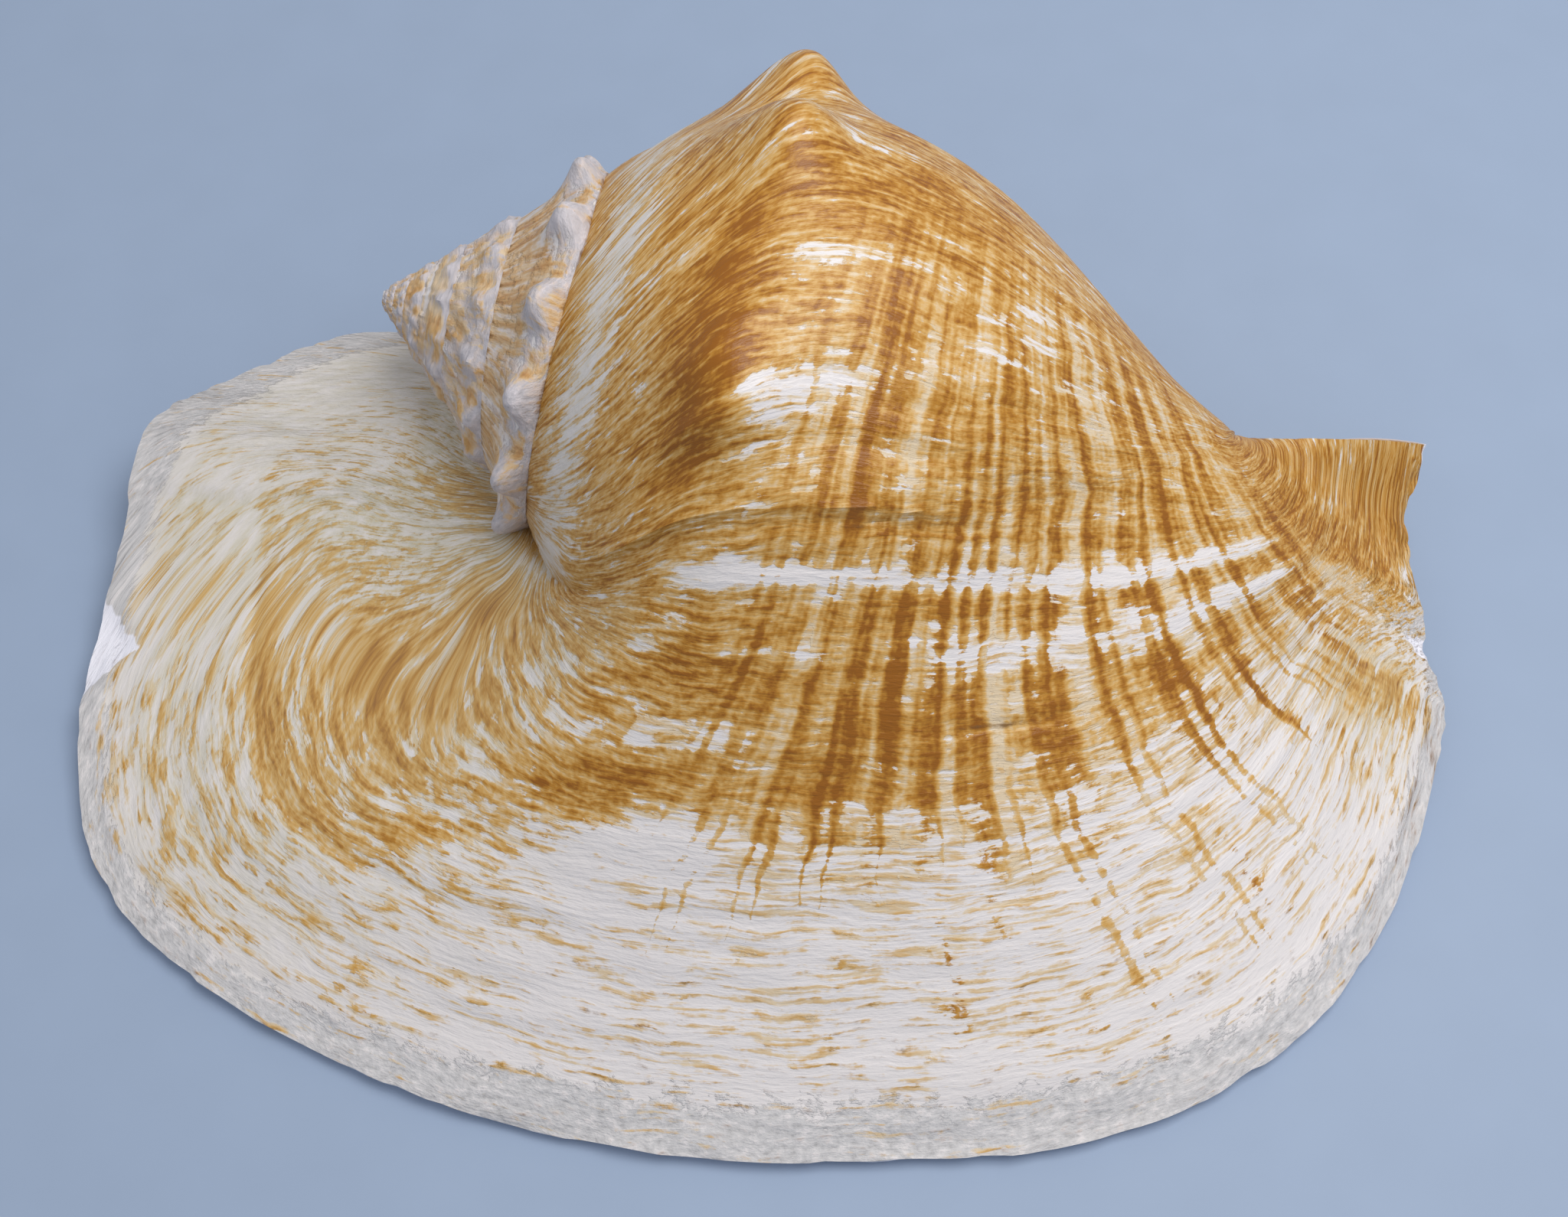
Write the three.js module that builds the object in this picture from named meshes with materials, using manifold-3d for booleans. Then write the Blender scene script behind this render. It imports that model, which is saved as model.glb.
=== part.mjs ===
// Large winged conch shell lying on its mouth, back up, in millimetres with +Z up.
// The spire points left, the siphonal canal right, and the flared lip spreads to the front.
import * as THREE from 'three';
import { mergeVertices } from 'three/addons/utils/BufferGeometryUtils.js';
import Module from 'manifold-3d';

const wasm = await Module();
wasm.setup();

// Coil axis, from the tip of the spire towards the canal
const APEX = new THREE.Vector3(-88.9, 62.8, 59);
const AXIS_TURN = 13.5; // degrees, from +X towards the front
const AXIS_DIP = 6.85; // degrees below level
const WHORL_GROWTH = 1.56; // one whorl is this many times the size of the one before

// Stations across the growing edge, from the suture at the spire to the tip of the canal:
// distance along the axis, radius over the back, angle where the wing leaves the whorl,
// and the point on the lip's outer edge that the station has grown to
const STATIONS = [
  [38, 30, 124, -62, 66, 40],
  [44, 37.5, 118, -101, 69, 34],
  [48, 42.5, 108, -127, 63, 26],
  [53, 48, 98, -148, 55, 17],
  [59, 54, 88, -153, 24, 10],
  [65.5, 59, 78, -157, -10, 6],
  [72.5, 63, 69, -149, -48, 4],
  [80.5, 66.3, 61, -123, -74, 3],
  [90, 67.8, 56, -81, -96, 3],
  [102, 66.6, 52, -35, -109, 3],
  [116, 62.8, 49, 13, -112, 3],
  [131, 56, 45, 58, -108.5, 3],
  [146, 46.5, 39, 98, -93, 3],
  [160, 36.5, 31, 127, -64, 3],
  [171, 29, 19, 143, -28, 5],
  [179, 24.5, 3, 147, -7, 9],
  [184, 22, -17, 142, 17, 15],
  [187, 20.8, -38, 141, 30, 21],
  [189, 20, -58, 148, 43, 28],
];
const LAST = STATIONS.length - 1;
const FULL_GROWTH_STATION = 7; // from here on the whorl widens at the full rate up to the wing
const CLIMB_STATION = 8; // up to here the whorl climbs the spire as it grows

// Wall of the shell
const BODY_WALL = 5;
const WING_WALL = 4.6;
const LIP_WALL = 3.6;
const MOUTH_ANGLE = -90; // where the inside of the last whorl ends against the one before
const UNDERSIDE_FLATTENING = 0.085;
const UNDERSIDE_SPREAD = 55; // degrees to either side of the underside

// How the wing leaves the whorl and comes down to the lip
const ROOT_REACH = 0.34; // of the distance from whorl to lip
const LIP_REACH = 0.36;
const LIP_SLOPE = 30; // degrees
const LEVEL_STATION = 8; // before this one the wing runs more level, straight from the whorl
const LEVEL_STATIONS = 6; // over which it does so
const LEVEL_SHARE = 0.85; // how straight it gets
const CANAL_STATION = 12; // from here on it runs straight again, out along the canal
const CANAL_STATIONS = 5;
const CANAL_SHARE = 0.95;
const LOBE_SLOPE_SHARE = 0.15; // of the lip's slope, where the lobe meets the spire
const ROOT_BLEND = 0.2; // of the wing, over which its inside leaves the whorl's

// Blunt knobs on the shoulder: angle, distance along the axis, width, height
const KNOBS = [
  [-150, 68, 9, 4],
  [-95, 66, 9, 6],
  [-52, 77, 11, 12.5],
  [-17, 80, 11, 9.5],
  [31, 82, 12, 7],
];
const KNOB_RADIUS = 60; // of the whorl, for distances around it

// Spire, as the profile of its last whorl from one suture to the next
const SPIRE_PROFILE = [
  [29.5, 26],
  [35.5, 32.3],
  [40.5, 38],
  [43.8, 40.5],
  [46, 40.6],
];
const SPIRE_TURNS = 3; // whorls shown above the last one
const SPIRE_STALL = 0.33; // turn up to which the last suture stays level
const SPIRE_END = 0.56; // turn at which the spire runs out inside the body whorl
const SPIRE_END_SIZE = 0.72;
const SPIRE_KNOBS = 13; // per turn
const SPIRE_KNOB_ANGLE = -5; // degrees, where one of them stands
const SPIRE_KNOB_HEIGHT = 4;
const SPIRE_KNOB_PLACE = 0.56; // along the profile
const SPIRE_KNOB_SPREAD = 0.22;
const SPIRE_KNOB_POINT = 1.5; // how narrow a knob is around the coil
const SPIRE_KNOB_RISE = 0.66; // share of its height that leans up the spire
const SPIRE_KNOB_OUT = 0.75; // share that stands out

// Points where the hidden ends of the coil close on the axis
const SPIRE_BASE = 80;
const BODY_START = 18;
const CANAL_POINT = 214;

// Slab below the shell that trims it flat where it rests
const GROUND_SIZE = 500;
const GROUND_DEPTH = 60;

// Facets
const STATION_STEPS = 2;
const WING_FACETS = 16;
const BACK_FACETS = 20;
const COIL_FACETS = 17;
const SPIRE_FACETS = 3 * SPIRE_KNOBS;
const PROFILE_FACETS = 7;
const SLOPE_STEP = 0.02; // of a station and of the wing, to find which way the wing faces
const WELD = 0.001;
const SHELL_COLOUR = 0xd9b98a;
const SHELL_ROUGHNESS = 0.55;

const { degToRad, lerp, smoothstep, clamp } = THREE.MathUtils;
const UP = new THREE.Vector3(0, 0, 1);

const AXIS = new THREE.Vector3(
  Math.cos(degToRad(AXIS_TURN)) * Math.cos(degToRad(AXIS_DIP)),
  -Math.sin(degToRad(AXIS_TURN)) * Math.cos(degToRad(AXIS_DIP)),
  -Math.sin(degToRad(AXIS_DIP)),
);
const BACK = UP.clone().addScaledVector(AXIS, -UP.dot(AXIS)).normalize();
const FRONT = AXIS.clone().cross(BACK).normalize();

const curve = (points) => new THREE.CatmullRomCurve3(points, false, 'catmullrom');
const WHORL_CURVE = curve(STATIONS.map(([along, radius, start]) => new THREE.Vector3(along, radius, start)));
const LIP_CURVE = curve(STATIONS.map(([, , , x, y, z]) => new THREE.Vector3(x, y, z)));
const SPIRE_CURVE = curve(SPIRE_PROFILE.map(([along, radius]) => new THREE.Vector3(along, radius, 0)));

// Point at a distance along the axis, out from it at an angle: 0 on the back, 90 at the front
function around(along, radius, angle) {
  return APEX.clone()
    .addScaledVector(AXIS, along)
    .addScaledVector(BACK, radius * Math.cos(degToRad(angle)))
    .addScaledVector(FRONT, radius * Math.sin(degToRad(angle)));
}

const wrap = (angle) => THREE.MathUtils.euclideanModulo(angle + 180, 360) - 180;

function knobHeight(angle, along) {
  let height = 0;
  for (const [knobAngle, knobAlong, width, top] of KNOBS) {
    const across = degToRad(angle - knobAngle) * KNOB_RADIUS;
    const distance = Math.hypot(along - knobAlong, across);
    height += top * Math.exp(-((distance / width) ** 2));
  }
  return height;
}

// The body whorl, and the whorls before it that the mouth looks in on
function whorl(angle, station, inset = 0) {
  const row = WHORL_CURVE.getPoint(station / LAST);
  const widening = angle > 0 ? smoothstep(station, 0, FULL_GROWTH_STATION) : 1;
  const scale = WHORL_GROWTH ** ((angle / 360) * widening);
  const climb = 1 - smoothstep(station, 0, CLIMB_STATION);
  const along = row.x * (angle < 0 ? 1 - (1 - scale) * climb : 1);
  const fromUnderside = wrap(angle + 180) / UNDERSIDE_SPREAD;
  const flattening = 1 - UNDERSIDE_FLATTENING * Math.exp(-(fromUnderside ** 2));
  const radius = row.y * scale * flattening + knobHeight(angle, along);
  return around(along, radius - inset, angle);
}

// The wing, from the whorl at across = 0 to the edge of the lip at across = 1
function wing(across, station) {
  const start = WHORL_CURVE.getPoint(station / LAST).z;
  const root = whorl(start, station);
  const edge = LIP_CURVE.getPoint(station / LAST);
  const chord = edge.clone().sub(root);
  const reach = chord.length();
  chord.normalize();
  const tangent = whorl(start + 1, station).sub(whorl(start - 1, station)).normalize();
  const level = LEVEL_SHARE * clamp((LEVEL_STATION - station) / LEVEL_STATIONS, 0, 1);
  const canal = CANAL_SHARE * clamp((station - CANAL_STATION) / CANAL_STATIONS, 0, 1);
  const leave = tangent.lerp(chord, level + canal).normalize();
  const slope = degToRad(LIP_SLOPE) * clamp(station / LEVEL_STATION, LOBE_SLOPE_SHARE, 1);
  const inward = chord.clone().setZ(0).normalize().multiplyScalar(-Math.cos(slope));
  const arrive = inward.addScaledVector(UP, Math.sin(slope));
  const leaving = root.clone().addScaledVector(leave, reach * ROOT_REACH);
  const arriving = edge.clone().addScaledVector(arrive, reach * LIP_REACH);
  return new THREE.CubicBezierCurve3(root, leaving, arriving, edge).getPoint(across);
}

function wingInside(across, station) {
  const step = 2 * SLOPE_STEP;
  const acrossLow = clamp(across - SLOPE_STEP, 0, 1 - step);
  const stationLow = clamp(station - SLOPE_STEP, 0, LAST - step);
  const outward = wing(acrossLow + step, station).sub(wing(acrossLow, station));
  const sideways = wing(across, stationLow + step).sub(wing(across, stationLow));
  const normal = sideways.cross(outward).normalize();
  if (normal.z < 0) {
    normal.negate();
  }
  const start = WHORL_CURVE.getPoint(station / LAST).z;
  const radial = around(0, 1, start).sub(APEX);
  normal.lerp(radial, 1 - smoothstep(across, 0, ROOT_BLEND)).normalize();
  const wall = lerp(WING_WALL, LIP_WALL, across);
  return wing(across, station).addScaledVector(normal, -wall);
}

// One closed loop around the wall of the shell at a station
function wallLoop(station) {
  const start = WHORL_CURVE.getPoint(station / LAST).z;
  const outside = [];
  const inside = [];
  const coil = [];
  for (let i = 0; i < WING_FACETS; i += 1) {
    const across = 1 - i / WING_FACETS;
    outside.push(wing(across, station));
    inside.push(wingInside(across, station));
  }
  for (let i = 0; i <= BACK_FACETS; i += 1) {
    const angle = lerp(start, MOUTH_ANGLE, i / BACK_FACETS);
    outside.push(whorl(angle, station));
    inside.push(whorl(angle, station, BODY_WALL));
  }
  for (let i = 1; i <= COIL_FACETS; i += 1) {
    coil.push(whorl(MOUTH_ANGLE - (360 * i) / COIL_FACETS, station));
  }
  return { outside, inside, coil, points: [...outside, ...coil, ...inside.toReversed()] };
}

function solidFrom(positions, triangles) {
  const geometry = new THREE.BufferGeometry();
  const coordinates = positions.flatMap((point) => point.toArray());
  geometry.setAttribute('position', new THREE.Float32BufferAttribute(coordinates, 3));
  geometry.setIndex(triangles.flat());
  return toManifold(geometry);
}

function toManifold(geometry) {
  return new wasm.Manifold(new wasm.Mesh({
    numProp: 3,
    vertProperties: new Float32Array(geometry.attributes.position.array),
    triVerts: new Uint32Array(geometry.index.array),
  }));
}

function bodyAndWing() {
  const positions = [];
  const triangles = [];
  const rows = LAST * STATION_STEPS;
  const loops = [];
  for (let row = 0; row <= rows; row += 1) {
    const loop = wallLoop(row / STATION_STEPS);
    loops.push(loop);
    positions.push(...loop.points);
  }
  const { outside, coil, points } = loops[0];
  const size = points.length;
  for (let row = 0; row < rows; row += 1) {
    for (let i = 0; i < size; i += 1) {
      const a = row * size + i;
      const b = row * size + ((i + 1) % size);
      triangles.push([a, a + size, b], [b, a + size, b + size]);
    }
  }
  // The two ends: a strip across the wall, and a cone from the coil to a point on the axis
  const wallEnd = outside.length - 1;
  const coilEnd = wallEnd + coil.length;
  const closeEnd = (first, tip, flip) => {
    const face = (a, b, c) => triangles.push(flip ? [a, c, b] : [a, b, c]);
    for (let i = 0; i < wallEnd; i += 1) {
      const a = first + i;
      const b = first + size - 1 - i;
      face(a, b, a + 1);
      face(a + 1, b, b - 1);
    }
    const point = positions.push(tip) - 1;
    for (let i = wallEnd; i <= coilEnd; i += 1) {
      face(first + i, point, first + i + 1);
    }
    face(first + coilEnd + 1, point, first + wallEnd);
  };
  closeEnd(0, around(BODY_START, 0, 0), true);
  closeEnd(rows * size, around(CANAL_POINT, 0, 0), false);
  return solidFrom(positions, triangles);
}

// Size of the spire's whorl at a turn, where turn 0 is the last suture on the back
function spireSize(turn) {
  if (turn <= 0) {
    return WHORL_GROWTH ** turn;
  }
  return lerp(1, SPIRE_END_SIZE, smoothstep(turn, SPIRE_STALL, SPIRE_END));
}

function spirePoint(turn, across) {
  const profile = SPIRE_CURVE.getPoint(across);
  const size = spireSize(turn);
  const upper = spireSize(turn - 1) / (size / WHORL_GROWTH);
  const squeeze = lerp(upper, 1, Math.min(across / SPIRE_KNOB_PLACE, 1));
  const knobTurn = SPIRE_KNOBS * (turn - SPIRE_KNOB_ANGLE / 360);
  const knob = Math.max(0, Math.cos(2 * Math.PI * knobTurn)) ** SPIRE_KNOB_POINT;
  const offKnob = (across - SPIRE_KNOB_PLACE) / SPIRE_KNOB_SPREAD;
  const height = SPIRE_KNOB_HEIGHT * knob * Math.exp(-(offKnob ** 2));
  const along = (profile.x * squeeze - SPIRE_KNOB_RISE * height) * size;
  const radius = (profile.y * squeeze + SPIRE_KNOB_OUT * height) * size;
  return around(along, radius, 360 * turn);
}

function spire() {
  const positions = [];
  const triangles = [];
  const steps = Math.round((SPIRE_TURNS + SPIRE_END) * SPIRE_FACETS);
  const turnAt = (step) => step / SPIRE_FACETS - SPIRE_TURNS + SPIRE_KNOB_ANGLE / 360;
  for (let step = 0; step <= steps; step += 1) {
    for (let facet = 0; facet < PROFILE_FACETS; facet += 1) {
      positions.push(spirePoint(turnAt(step), facet / PROFILE_FACETS));
    }
  }
  const rim = positions.length;
  const rimStep = steps - SPIRE_FACETS + 1;
  for (let step = rimStep; step <= steps; step += 1) {
    positions.push(spirePoint(turnAt(step), 1));
  }
  // Each whorl's lower suture is the next whorl's upper one, so the rows share their points
  const vertex = (step, facet) => {
    if (facet < PROFILE_FACETS) {
      return step * PROFILE_FACETS + facet;
    }
    return step < rimStep ? (step + SPIRE_FACETS) * PROFILE_FACETS : rim + step - rimStep;
  };
  for (let step = 0; step < steps; step += 1) {
    for (let facet = 0; facet < PROFILE_FACETS; facet += 1) {
      const a = vertex(step, facet);
      const b = vertex(step + 1, facet);
      const c = vertex(step, facet + 1);
      const d = vertex(step + 1, facet + 1);
      triangles.push([a, b, c], [b, d, c]);
    }
  }
  const tip = positions.push(APEX) - 1;
  for (let step = 0; step < SPIRE_FACETS; step += 1) {
    triangles.push([vertex(step + 1, 0), vertex(step, 0), tip]);
  }
  for (let facet = 0; facet < PROFILE_FACETS; facet += 1) {
    triangles.push([vertex(0, facet), vertex(0, facet + 1), tip]);
  }
  const base = positions.push(around(SPIRE_BASE, 0, 0)) - 1;
  for (let step = steps - SPIRE_FACETS; step < steps; step += 1) {
    triangles.push([vertex(step, PROFILE_FACETS), vertex(step + 1, PROFILE_FACETS), base]);
  }
  for (let facet = 0; facet < PROFILE_FACETS; facet += 1) {
    triangles.push([vertex(steps, facet + 1), vertex(steps, facet), base]);
  }
  return solidFrom(positions, triangles);
}

// What is worn flat where the shell rests
function ground() {
  const slab = new THREE.BoxGeometry(GROUND_SIZE, GROUND_SIZE, GROUND_DEPTH);
  slab.translate(0, 0, -GROUND_DEPTH / 2);
  slab.deleteAttribute('normal');
  slab.deleteAttribute('uv');
  return toManifold(mergeVertices(slab));
}

function shellGeometry() {
  const mesh = bodyAndWing().add(spire()).subtract(ground()).getMesh();
  const geometry = new THREE.BufferGeometry();
  geometry.setAttribute('position', new THREE.BufferAttribute(mesh.vertProperties, 3));
  geometry.setIndex(new THREE.BufferAttribute(mesh.triVerts, 1));
  geometry.computeBoundingBox();
  const middle = geometry.boundingBox.getCenter(new THREE.Vector3());
  geometry.translate(-middle.x, -middle.y, 0);
  const welded = mergeVertices(geometry, WELD);
  welded.computeVertexNormals();
  return welded;
}

const shell = new THREE.Mesh(
  shellGeometry(),
  new THREE.MeshStandardMaterial({ color: SHELL_COLOUR, roughness: SHELL_ROUGHNESS, metalness: 0 }),
);
shell.name = 'shell';

const conch = new THREE.Group();
conch.add(shell);

export default conch;
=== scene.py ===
"""A large winged conch shell, grown from its coil and dressed for a studio view.

The file is laid out as an add-on and run as a script. The shell is grown in millimetres, in the
frame of its coil, and put into the scene in metres.
"""
import math

import bpy
import numpy as np
from bpy.props import FloatProperty, FloatVectorProperty, PointerProperty
from bpy.types import Operator, Panel, PropertyGroup
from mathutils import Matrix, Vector


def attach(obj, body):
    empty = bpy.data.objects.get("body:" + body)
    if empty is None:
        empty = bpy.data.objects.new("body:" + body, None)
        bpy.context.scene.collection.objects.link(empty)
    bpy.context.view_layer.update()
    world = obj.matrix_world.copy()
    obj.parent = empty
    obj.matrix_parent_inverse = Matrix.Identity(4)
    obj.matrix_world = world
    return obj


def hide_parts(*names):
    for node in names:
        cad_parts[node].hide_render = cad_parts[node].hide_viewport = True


bl_info = {
    "name": "Winged conch shell",
    "version": (1, 0, 0),
    "blender": (4, 5, 0),
    "location": "3D View > Sidebar > Conch",
    "description": "Grows a winged conch shell over its solid and sets a plain studio around it",
    "category": "Object",
}

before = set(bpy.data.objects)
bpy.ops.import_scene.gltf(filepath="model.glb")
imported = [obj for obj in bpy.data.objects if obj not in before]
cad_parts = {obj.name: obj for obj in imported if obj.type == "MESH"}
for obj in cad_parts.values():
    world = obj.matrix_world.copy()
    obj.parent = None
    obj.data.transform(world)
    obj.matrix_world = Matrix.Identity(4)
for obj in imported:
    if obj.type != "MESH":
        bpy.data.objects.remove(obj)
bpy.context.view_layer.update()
MM = 0.001

# Coil axis, from the tip of the spire towards the canal, and the middle of the shell's outline
APEX = np.array([-88.9, 62.8, 59.0])
AXIS_TURN = 13.5
AXIS_DIP = 6.85
OUTLINE_MIDDLE = np.array([-4.5, -3.92, 0.0])

# Stations across the growing edge, from the suture at the spire to the tip of the canal:
# distance along the axis, radius over the back, angle where the wing leaves the whorl,
# and the point on the lip's edge that the station has grown to
STATIONS = np.array([
    (38, 30, 124, -62, 66, 40),
    (44, 37.5, 118, -101, 69, 34),
    (48, 42.5, 108, -127, 63, 26),
    (53, 48, 98, -148, 55, 17),
    (59, 54, 88, -153, 24, 10),
    (65.5, 59, 78, -157, -10, 6),
    (72.5, 63, 69, -149, -48, 4),
    (80.5, 66.3, 61, -123, -74, 3),
    (90, 67.8, 56, -81, -96, 3),
    (102, 66.6, 52, -35, -109, 3),
    (116, 62.8, 49, 13, -112, 3),
    (131, 56, 45, 58, -108.5, 3),
    (146, 46.5, 39, 98, -93, 3),
    (160, 36.5, 31, 127, -64, 3),
    (171, 29, 19, 143, -28, 5),
    (179, 24.5, 3, 147, -7, 9),
    (184, 22, -17, 142, 17, 15),
    (187, 20.8, -38, 141, 30, 21),
    (189, 20, -58, 148, 43, 28),
], float)
LAST = len(STATIONS) - 1
MOUTH_ANGLE = -90.0
FULL_GROWTH_STATION = 7
CLIMB_STATION = 8
LEVEL_STATION = 8
LEVEL_SPAN = 6
LEVEL_SHARE = 0.85
CANAL_STATION = 12
CANAL_SPAN = 5
CANAL_SHARE = 0.95
UNDERSIDE_FLATTENING = 0.085
UNDERSIDE_SPREAD = 55.0
ROOT_REACH = 0.34
LIP_REACH = 0.36
LIP_SLOPE = 30.0
LEAST_SLOPE = 0.15
BODY_START = 18.0
CANAL_POINT = 214.0

# Blunt knobs on the shoulder: angle, distance along the axis, width, height
KNOBS = [
    (-150, 68, 9, 4),
    (-95, 66, 9, 6),
    (-52, 77, 11, 12.5),
    (-17, 80, 11, 9.5),
    (31, 82, 12, 7),
]
KNOB_RADIUS = 60.0

# Spire, as the profile of its last whorl from one suture to the next
SPIRE_PROFILE = np.array([(29.5, 26), (35.5, 32.3), (40.5, 38), (43.8, 40.5), (46, 40.6)], float)
SPIRE_TURNS = 6
SPIRE_STALL = 0.33
SPIRE_END = 0.56
SPIRE_END_SIZE = 0.72
SPIRE_KNOBS = 13
SPIRE_KNOB_ANGLE = -5.0
SPIRE_KNOB_HEIGHT = 5.2
SPIRE_KNOB_PLACE = 0.56
SPIRE_KNOBS_END = (0.46, 0.52)
SPIRE_RING = (SPIRE_KNOB_PLACE + 0.12, 0.29)
SPIRE_RING_END = (0.86, 1)
SPIRE_WORN_TURNS = (0.1, 1)
SPIRE_FLATTENING = 0.55
SPIRE_KNOB_WEAR = 0.6
SPIRE_ROOT = 60.0
SPIRE_MM_PER_DEGREE = 0.4
SPIRE_MM_ACROSS = 30

# Facets of the grown mesh
STATION_ROWS = 260
WING_COLUMNS = 92
BACK_COLUMNS = 84
COIL_COLUMNS = 36
BACK_INSIDE_COLUMNS = 28
WING_INSIDE_COLUMNS = 36
EDGE_LAYERS = 3
SPIRE_STEPS = 12 * SPIRE_KNOBS
SPIRE_ROWS = 16

# Lengths that turn a place on the shell into millimetres of growth and of width
WING_LENGTH = 115.0
STATION_WIDTH = 20.0
BACK_LENGTH_PER_DEGREE = 1.08
BACK_SPAN = 130.0

# Lengths along the growing edge are measured from this station
MIDDLE_STATION = 10

# Spiral stripes spread over the wing from a place on, and lean with each degree behind its root
FAN_START = 0.1
FAN_MOST = 0.45
FAN_STATIONS = (6, 9)
STRIPE_LEAN = 0.025
LEANING_STATIONS = (9, 13)

# How far the growth lines lean at each station, as shares of the wing's length
CANAL_LEAN = np.array([
    [0] * 9 + [0.005, 0.02, 0.045, 0.075, 0.115, 0.165, 0.235, 0.37, 0.38, 0.26]
]).T
ROOT_LEAN = np.array([[0.19] * 4 + [0.185, 0.16, 0.11, 0.055, 0.015] + [0] * 10]).T
LOBE_LEAN = np.array([[1.13, 0.86, 0.59, 0.32, 0.09, 0.01] + [0] * 13]).T

# Where these leans set in and end; towards the lip the canal's lean is unbent
UNBENT_PLACES = (0.35, 0.8)
UNBENT_STATIONS = (14.6, 15.8)
ROOT_LEAN_PLACES = ((-0.1, 0.15), (0.25, 0.6))
LOBE_LEAN_PLACES = (-0.25, 0.15)

# Soft patches of pigment on the shell, with three patches of painted light as noted below: station,
# place, half-width in each, and amount.
# Place is 0 at the wing's root, 1 at the lip and -1 where the back turns under.
PIGMENT_AND_LIGHT_PATCHES = [
    ("pale band along the suture", 3.2, -0.4, 0.9, 0.9, -0.32),
    ("dark cheek left of the front knob", 6.6, -0.35, 0.8, 0.12, 0.44),
    # Painted shade on the steep left side of the front knob, over some brown pigment
    ("dark hollow under the knob", 6.9, -0.2, 0.7, 0.1, 0.4),
    # Partly worn and partly a painted highlight where light catches the front knob's tip
    ("rubbed tip of the front knob", 8.3, -0.19, 0.8, 0.028, -0.42),
    ("bloomed wrinkles around it", 8.9, -0.15, 1.3, 0.1, -0.1),
    ("rubbed streak beside it", 9.5, -0.205, 0.7, 0.02, -0.32),
    ("rubbed streak above it", 8.6, -0.365, 1.1, 0.018, -0.36),
    ("rubbed tip of the far knob", 8.6, -0.58, 0.6, 0.03, -0.3),
    ("pale field on the back", 11.4, -0.3, 0.6, 0.1, -0.28),
    ("pale field beside it", 12.6, -0.24, 0.45, 0.09, -0.16),
    ("pale strip below the knob", 9.4, -0.09, 1, 0.02, -0.16),
    ("brown mottle over the far knob", 8.4, -0.5, 1.1, 0.1, 0.16),
    ("dark shoulder", 9.8, -0.5, 0.9, 0.08, 0.12),
    ("pale strip by the root", 3.2, -0.05, 0.5, 0.06, -0.2),
    ("olive strip beside it", 3.4, 0.16, 0.8, 0.12, 0.2),
    ("pale dabs", 7.3, 0.05, 0.5, 0.035, -0.12),
    ("pale dabs below", 7.2, 0.14, 0.35, 0.02, -0.2),
    ("rubbed streaks", 5.9, 0.2, 0.55, 0.03, -0.16),
    ("brown corner", 4.2, 0.21, 0.3, 0.05, 0.2),
    ("brown wedge", 8, 0.15, 0.35, 0.03, 0.3),
    ("brown field", 8.4, 0.22, 1.2, 0.06, 0.18),
    ("brown field below", 7.9, 0.43, 0.7, 0.06, 0.34),
    ("brown field right", 9.6, 0.33, 0.8, 0.12, 0.2),
    ("brown band between the white ones", 10.7, 0.115, 0.7, 0.035, 0.2),
    ("pale gap", 6.6, 0.42, 0.35, 0.06, -0.16),
    ("pale panel", 8.6, 0.51, 0.6, 0.05, -0.3),
    ("white dab", 9.5, 0.165, 0.16, 0.03, -0.45),
    ("white line", 8.8, 0.172, 0.45, 0.01, -0.35),
    ("white dab by the panel", 9.08, 0.32, 0.09, 0.025, -0.4),
    ("ochre arc", 5.2, 0.46, 0.9, 0.05, 0.16),
    ("ochre edge", 5.2, 0.68, 1, 0.025, 0.2),
    ("pale lobe", 1.2, 0.7, 1.6, 0.5, -0.2),
    # Painted shadow of the spire on the lobe, and shade in the gutter beside it
    ("olive hollow behind the spire", 1.9, 0.26, 0.7, 0.14, 0.25),
    ("ochre streaks beside the lobe", 3.7, 0.42, 0.4, 0.3, 0.06),
    ("ochre margin at the right", 14.4, 0.8, 0.6, 0.25, 0.36),
    ("ochre corner", 15.5, 0.55, 0.8, 0.3, 0.28),
    ("canal", 17, 0.3, 1.3, 0.35, 0.2),
    ("canal below", 17, 0.85, 0.9, 0.25, 0.2),
    ("cream lines in the canal", 16.6, 0.55, 0.9, 0.06, -0.2),
    ("stained gap", 11.2, 0.555, 0.22, 0.02, 0.4),
]

# Fine double stripes that fan over the wing: place across the growing edge, and the growth that
# each one ends at, in millimetres
STRIPES = [
    (178, 58), (188, 74), (197, 72), (206, 63), (217, 58), (226, 57), (235, 64),
    (244, 103), (258, 101), (270, 100), (281, 78), (291, 74),
]

# Broad changes of the pigment: the stations and the places that each sets in and ends over, and the
# amount. None means that it has no such end.
FULL_PIGMENT = 0.6
BROAD_PIGMENT = [
    ("thin skin at the left of the wing", None, (6.6, 8.4), (0, 0.15), None, -0.11),
    ("thinner past the ledge", None, (6.6, 8.4), (0.695, 0.72), None, -0.18),
    ("thin skin on the wing", (6.6, 8.4), None, (0, 0.2), None, -0.06),
    ("white outer wing", (6.6, 8.4), (15, 16), (0.36, 0.6), None, -0.4),
    ("bare lobe", None, (2.6, 4.4), (0.02, 0.12), None, -0.1),
    ("worn lip", None, (15.6, 16.2), (0.9, 0.97), None, -0.24),
    ("small white panel", (7.75, 7.82), (8.85, 8.92), (0.283, 0.292), (0.335, 0.345), -0.36),
]

# White bands along the growth lines: growth at the middle and half-width in millimetres, stations
# that they set in and end over, and amount
WHITE_BANDS = [
    ("band at the wing's root", 5.5, 2.8, (6.8, 8.2), (14.8, 15.6), -0.64),
    ("broken band below it", 18.5, 4.2, (10.2, 11.2), (14.8, 15.6), -0.5),
]
STRIPED_STATIONS = ((8, 9.5), (15.2, 16))
STRIPED_PLACES = ((-0.6, -0.2), (0.75, 0.92))

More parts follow.
